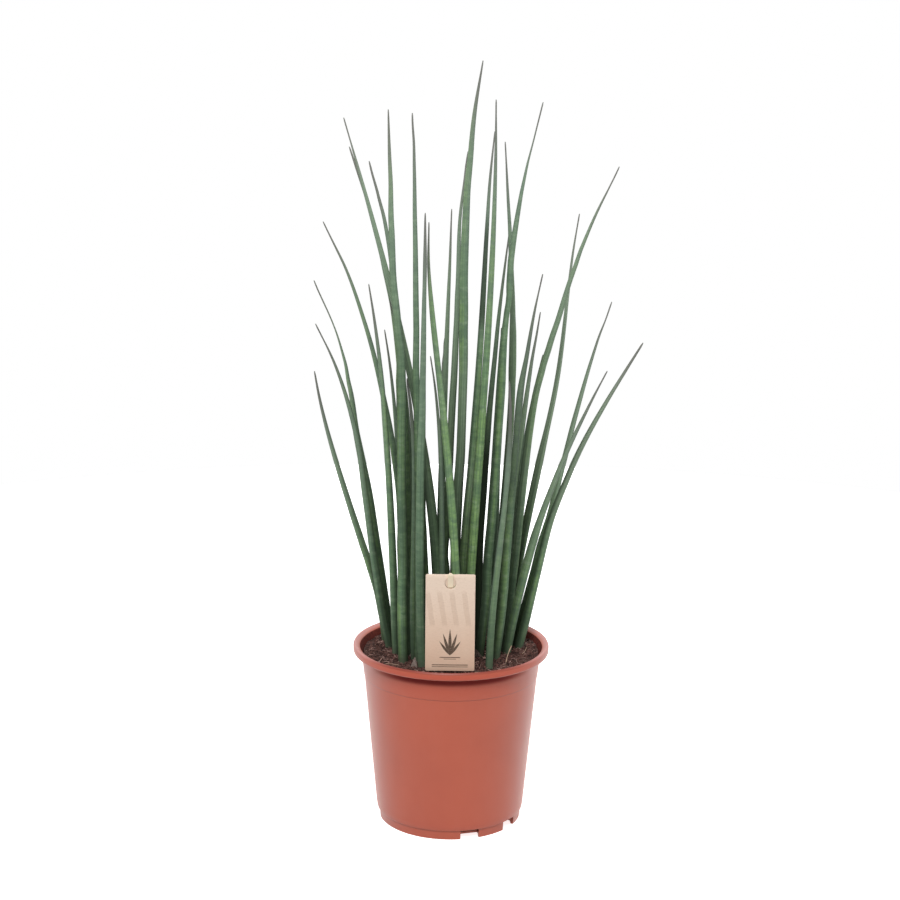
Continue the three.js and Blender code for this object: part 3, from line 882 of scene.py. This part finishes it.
def makeScales(look, finish):
    picks = random.Random(look["seed"])
    whole = bmesh.new()
    for number, (height, facing, spread) in look["scales"].items():
        rings = leafRings[number]
        foot = rings[1][0].z
        bm = scaleSheet()
        for v in bm.verts:
            t = v.co.z
            middle, radius = leafAt(rings, foot + (height * t + 0.1) * mm)
            turn = math.radians(facing + v.co.x * spread)
            gap = look["scaleGap"] + look["scaleFlare"] * t ** 3 + look["ragged"] * picks.random() * t
            reach = radius * leafLook["wide"] + gap * mm
            v.co = middle + Vector((math.cos(turn) * reach, math.sin(turn) * reach, 0))
            v.co.z = foot + height * t * mm
        thicken(bm, look["scaleThickness"] * mm)
        mesh = meshFrom("scale", bm)
        whole.from_mesh(mesh)
        bpy.data.meshes.remove(mesh)
    return pieceFrom("sheathScales", whole, [finish])


def makeLoose(look, finish):
    (x, y), length, half, heading, slope = look["loose"]
    bm = scaleSheet()
    for v in bm.verts:
        side, t = v.co.x, v.co.z
        v.co = Vector(((t - 0.12) * length, side * half, 1.3 * side ** 2 + 1.2 * (t - 0.4) ** 2)) * mm
    lay = Matrix.Translation((x * mm, y * mm, compostHeight(x * mm, y * mm)))
    stand = turned(math.radians(heading)) @ turned(-math.radians(slope), "Y")
    bmesh.ops.transform(bm, matrix=lay @ stand, verts=bm.verts)
    thicken(bm, look["scaleThickness"] * mm)
    return pieceFrom("looseScale", bm, [finish])


def makeStraws(look, finish):
    bm = bmesh.new()
    steps = look["strawSteps"]
    for start, end, raised, radius, bow in look["straws"]:
        start, end = Vector(start) * mm, Vector(end) * mm
        aside = Vector((end.y - start.y, start.x - end.x)).normalized() * bow * mm
        spots = []
        for k in range(steps + 1):
            flat = start.lerp(end, k / steps) + aside * math.sin(k / steps * math.pi)
            spots.append(Vector((*flat, compostHeight(*flat) + (radius + look["strawLift"]) * mm)))
        tops = [max(p.z for p in spots[max(0, k - 3):k + 4]) for k in range(steps + 1)]
        low, high = tops[0] + raised * mm, tops[-1]
        for k, (spot, top) in enumerate(zip(spots, tops)):
            spot.z = max(top, low + (high - low) * k / steps)
        way = math.atan2(end.y - start.y, end.x - start.x)
        upright = Matrix.Translation(spots[0]) @ turned(way) @ turned(math.pi / 2, "Y")
        made = bmesh.ops.create_circle(bm, cap_ends=True, segments=6, radius=radius * mm, matrix=upright)
        face = list(made["verts"][0].link_faces)
        for before, after in zip(spots, spots[1:]):
            grown = extruded(bm, face, after - before)
            if before is not spots[0]:
                bmesh.ops.delete(bm, geom=face, context="FACES_ONLY")
            face = grown
    faceOut(bm)
    return pieceFrom("straws", bm, [finish])


sheath = litterFinish("drySheath", shade(84, 72, 66), shade(138, 122, 114))
makeScales(litterLook, sheath)
makeLoose(litterLook, sheath)
makeStraws(litterLook, litterFinish("straw", shade(150, 124, 104), shade(206, 176, 152)))
print("litter laid")


# card and its stake
cardLook = {
    "middle": -1.0,          # millimetres
    "bottom": 151.3,
    "width": 41.4,
    "height": 84.1,
    "front": -60.0,
    "thickness": 0.6,
    "corner": 1.4,
    "hole": 4.7,
    "holeBelowTop": 7.8,
    "flapTilt": 12,          # degrees by which the flap of the hole is pushed back
    "flapGap": 0.1,
    "round": 48,             # sides of the hole and its flap
    "columns": 12,
    "rows": 24,
    "edge": 0.1,
    "curl": 0.5,
    # the print, in millimetres from the card's lower edge and its middle
    "broadBlades": (38, 42, 66, 71),      # heights between which they begin, and between which they end
    # lean, length, width and foot of each leaf; height, half thickness and reach of each rule
    "sprig": [(0, 24, 1.45, 13.2), (17, 20.5, 1.3, 13.4), (36, 15.5, 1.15, 13.6)],
    "rules": [(11.8, 0.3, 8.5), (10.4, 0.2, 5), (5.2, 0.32, 15), (3.6, 0.22, 15)],
}


def cardFinish(name, printed):
    look = cardLook
    card = Finish(name, Specular_IOR_Level=0.2)
    at = card.place()
    x, _, z = card.axes(at)
    across = x - look["middle"]
    up = z - look["bottom"]
    fibres = card.cloud(at, (0.5, 1, 2.6), 4, 0.65, 0.6)
    flecks = card.cloud(at, (1.2, 1, 3.4), 2)
    wide = card.cloud(at, 0.05, 2)
    skin = card.coats(
        # painted shade: darker towards the bottom edge
        card.mix(up.rise(0, 84), shade(224, 192, 168), shade(238, 216, 197)),
        (fibres.rise(0.45, 0.75) * 0.35, (192, 160, 134)),
        (flecks.rise(0.66, 0.8) * 0.3, (168, 132, 106)),
        (wide.rise(0.4, 0.7) * 0.15, (236, 216, 196)))

    def leafInk(side, degrees, length, width, foot):      # a pointed leaf that leans outwards
        lean = math.radians(degrees)
        along = (side * math.sin(lean) + (up - foot) * math.cos(lean)) / length
        off = abs(side * math.cos(lean) - (up - foot) * math.sin(lean))
        inside = along.rise(0, 0.02) * (1 - along.rise(0.98, 1))
        body = (along.clamped() * math.pi).sine() * width * (1.15 - 0.4 * along)
        return (body - off).rise(-0.08, 0.12) * inside

    if printed:
        foot, full, thin, tip = look["broadBlades"]
        slanted = across + up * 0.16
        blades = (slanted * 0.62 + 0.9 * wide).sine().rise(0.1, 0.35)
        blades = blades * up.rise(foot, full) * (1 - up.rise(thin, tip)) * (0.1 + 0.22 * fibres)
        half = abs(across)
        ink = leafInk(across, *look["sprig"][0])
        for leaf in look["sprig"][1:]:
            ink = ink.most(leafInk(half, *leaf))
        for level, thick, reach in look["rules"]:
            rule = (1 - abs(up - level).rise(thick, thick + 0.12)) * (1 - half.rise(reach, reach + 0.2))
            ink = ink.most(rule)
        worn = 0.9 - 0.45 * flecks.rise(0.55, 0.75)
        skin = card.coats(skin, (blades, (178, 146, 122)), (ink * worn, (58, 44, 34)))
    card.feed(Base_Color=skin, Roughness=(0.78 + 0.14 * fibres).clamped())
    card.relief(fibres * 0.6 + flecks * 0.4, 0.06 * mm, 0.5)
    return card


def disc(bm, look, gap, depth):       # as wide as the card's hole but for a gap
    radius = (look["hole"] - gap) * mm
    return bmesh.ops.create_cone(bm, cap_ends=True, segments=look["round"], radius1=radius, radius2=radius,
                                 depth=depth)["verts"]


def makeCard(look, front, back):
    width, height, thickness = look["width"] * mm, look["height"] * mm, look["thickness"] * mm
    corner = look["corner"] / look["width"]
    bm = bmesh.new()
    bmesh.ops.create_grid(bm, x_segments=1, y_segments=1, size=0.5)
    bevelled(bm, bm.verts[:], corner, 5, "VERTICES")
    for v in bm.verts:                # equal rounding both ways
        if abs(v.co.y) > 0.5 - corner - 1e-6:
            v.co.y = math.copysign(0.5 + (abs(v.co.y) - 0.5) * width / height, v.co.y)
    bmesh.ops.transform(bm, matrix=Matrix.Diagonal((width, height, 1, 1)), verts=bm.verts)
    for way, size, parts in (((1, 0, 0), width, look["columns"]), ((0, 1, 0), height, look["rows"])):
        for k in range(1, parts):
            bmesh.ops.bisect_plane(bm, geom=bm.verts[:] + bm.edges[:] + bm.faces[:],
                                   plane_co=Vector(way) * (k / parts - 0.5) * size, plane_no=way)
    faceOut(bm)
    extruded(bm, bm.verts[:] + bm.edges[:] + bm.faces[:], (0, 0, thickness))
    bmesh.ops.translate(bm, verts=bm.verts, vec=(0, 0, -thickness / 2))
    faceOut(bm)
    holeAt = height / 2 - look["holeBelowTop"] * mm
    punch = bmesh.new()
    bmesh.ops.translate(punch, verts=disc(punch, look, 0, 6 * mm), vec=(0, holeAt, 0))
    bm = cutAway(bm, punch)
    rims = [e for e in bm.edges if len(e.link_faces) == 2 and e.calc_face_angle() > 1.2]
    bevelled(bm, rims, look["edge"] * mm, 2)
    flap = disc(bm, look, look["flapGap"], thickness)
    hinge = Matrix.Translation((0, holeAt + look["hole"] * mm, 0))
    hang = Matrix.Translation((0, -look["hole"] * mm, 0))
    bmesh.ops.transform(bm, verts=flap, matrix=hinge @ turned(math.radians(look["flapTilt"]), "X") @ hang)
    for v in bm.verts:
        share = v.co.x / (width / 2)
        v.co.z -= look["curl"] * mm * (share ** 2 - 0.35) * (0.4 + 0.6 * v.co.y / height)
    stand = Matrix.Translation((look["middle"] * mm, look["front"] * mm, look["bottom"] * mm + height / 2))
    bmesh.ops.transform(bm, matrix=stand @ turned(math.pi / 2, "X"), verts=bm.verts)
    bm.normal_update()
    for face in bm.faces:
        face.material_index = 0 if face.normal.y < -0.5 else 1
    return pieceFrom("kraftCard", bm, [front, back], ["card"], 30)


makeCard(cardLook, cardFinish("cardFront", True), cardFinish("cardBack", False))

stakeLook = {
    "steps": 40,
    "edge": 0.22,            # rounding of its edges, millimetres
    "packing": 1.3,          # above 1 the steps lie closer together towards the top
    "endLength": 2.6,        # rounded end
    "endWidth": 0.28,        # width of its tip, as a share
    "over": 0.7,             # how far its end stands over the card's edge
    "crossing": 223.2,       # height at which it comes through the card, with a painted shadow there
}


def stakeFinish():
    wood = Finish("paleWood", Specular_IOR_Level=0.35)
    at = wood.place()
    grain = wood.cloud(at, (1.8, 1.8, 0.05), 4, 0.6, 0.3)
    line = wood.cloud(at, (5, 5, 0.12), 2)
    z = wood.axes(at)[2]
    skin = wood.coats(
        wood.mix(grain.rise(0.35, 0.65), shade(255, 240, 214), shade(252, 232, 200)),
        (line.rise(0.6, 0.8) * 0.3, (214, 184, 150)),
        ((1 - z.rise(146, 156)) * 0.7, (120, 90, 66)),
        # painted shadow where it passes behind the card
        ((1 - abs(z - stakeLook["crossing"]).rise(0.2, 1.5)) * 0.6, (128, 88, 62)))
    wood.feed(Base_Color=skin, Roughness=(0.55 + 0.2 * grain).clamped())
    wood.relief(grain + line, 0.08 * mm, 0.5)
    return wood


def makeStake(look, finish):
    rings = ringsOf("stake")
    heights = [middle.z for middle, _ in rings]
    low, high = heights[0], heights[-1]
    width, depth = rings[1][1].x * 2, rings[1][1].y * 2
    bm = bmesh.new()
    bmesh.ops.create_cube(bm, size=1, matrix=Matrix.Diagonal((width, depth, 1, 1)))
    bmesh.ops.subdivide_edges(bm, edges=risers(bm, 0.5), cuts=look["steps"] - 1, use_grid_fill=True)
    bevelled(bm, risers(bm, 0.001), look["edge"] * mm, 2)
    for v in bm.verts:
        t = v.co.z + 0.5
        z = low + (high - low) * (1 - (1 - t) ** look["packing"])
        k = max(i for i in range(len(rings) - 1) if heights[i] <= z + 1e-9)
        s = k + (z - heights[k]) / (heights[k + 1] - heights[k])
        middle = between(rings, min(s, len(rings) - 1))[0]
        toEnd = (high - z) / (look["endLength"] * mm)
        narrow = look["endWidth"] + (1 - look["endWidth"]) * (1 - (1 - min(1, toEnd)) ** 2) ** 0.5
        z += look["over"] * mm * t ** 8
        v.co = Vector((middle.x + v.co.x * narrow, middle.y + v.co.y, z))
    faceOut(bm)
    return pieceFrom("cardStake", bm, [finish], ["stake"], 40)


makeStake(stakeLook, stakeFinish())
print("card printed and staked")


# floor and light
studioLook = {
    "sky": 0.38,             # strength of the white all round, as light
    "gloss": (0.5, 1.5),     # as seen in reflections, in front and behind
    "floorRadius": 1.4,
    "floorShade": 0.8,       # glow of the paper under the pot
    "floorGlow": (0.5, 0.75),          # and further out, in front and behind
    "lights": {              # place, what it faces, size, watts
        "key": ((-0.25, -1.6, 1.95), (0, 0, 0.3), 0.7, 42),
        "left": ((-1.7, -0.1, 1.3), (0, 0, 0.3), 1.0, 1.5),
        "right": ((1.7, -0.1, 1.3), (0, 0, 0.3), 1.0, 7),
        "top": ((0, 0.4, 2.3), (0, 0, 0.2), 1.2, 12),
        "back": ((0.2, 1.8, 1.3), (0, 0, 0.3), 1.0, 9),
    },
}


def grey(value):
    return (value, value, value, 1)


def setSky(look):                     # plain white, dimmer as a light than it looks
    world = bpy.data.worlds.new("studio")
    scene.world = world
    world.use_nodes = True
    sky = NodeTree(world.node_tree)

    def white(strength):
        return sky.node("ShaderNodeBackground", inputs={"Color": grey(1), "Strength": strength})

    def seenBy(ray, others, those):   # what one kind of ray meets, and what the others do
        chosen = sky.node("ShaderNodeLightPath", output=ray)
        return sky.node("ShaderNodeMixShader", inputs={0: chosen, 1: others, 2: those})

    y = sky.axes(sky.node("ShaderNodeTexCoord", output="Generated"))[1]
    front, behind = look["gloss"]
    shine = sky.node("ShaderNodeMapRange", inputs={
        "Value": y, "From Min": -0.3, "From Max": 0.6, "To Min": front, "To Max": behind})
    lit = seenBy("Is Glossy Ray", white(look["sky"]), white(shine))
    sky.join(seenBy("Is Camera Ray", lit, white(1)), sky.tree.nodes["World Output"].inputs["Surface"])


def layFloor(look):
    paper = Finish("floorPaper", Roughness=0.9, Specular_IOR_Level=0.1, Emission_Strength=1.0)
    at = paper.place(1)
    x, y, _ = paper.axes(at)
    away = ((x * x + y * y) ** 0.5).rise(0.06, 0.34)
    front, behind = look["floorGlow"]
    glow = paper.mix(y.rise(-0.25, 0.1), grey(front), grey(behind))
    tooth = paper.cloud(at, 3, 2)
    paper.feed(Base_Color=paper.mix(tooth, shade(244, 244, 243), shade(248, 248, 248)),
               Emission_Color=paper.mix(away, grey(look["floorShade"]), glow))
    bm = bmesh.new()
    bmesh.ops.create_circle(bm, cap_ends=True, segments=96, radius=look["floorRadius"])
    bmesh.ops.translate(bm, verts=bm.verts, vec=(0, 0, -0.05 * mm))
    mesh = meshFrom("floor", bm)
    mesh.materials.append(paper.material)
    floor = placed("floor", mesh)
    floor.visible_diffuse = False     # its glow doesn't fill the shadows


def setStudio(look):
    scene.view_settings.view_transform = "Standard"
    setSky(look)
    layFloor(look)
    for name, (place, target, size, watts) in look["lights"].items():
        lamp = bpy.data.lights.new(name, "AREA")
        lamp.shape = "SQUARE"
        lamp.size = size
        lamp.energy = watts
        holder = placed(name, lamp)
        holder.location = place
        holder.rotation_euler = (Vector(target) - Vector(place)).to_track_quat("-Z", "Y").to_euler()
        holder.visible_glossy = name != "back"


setStudio(studioLook)
print("studio lit")
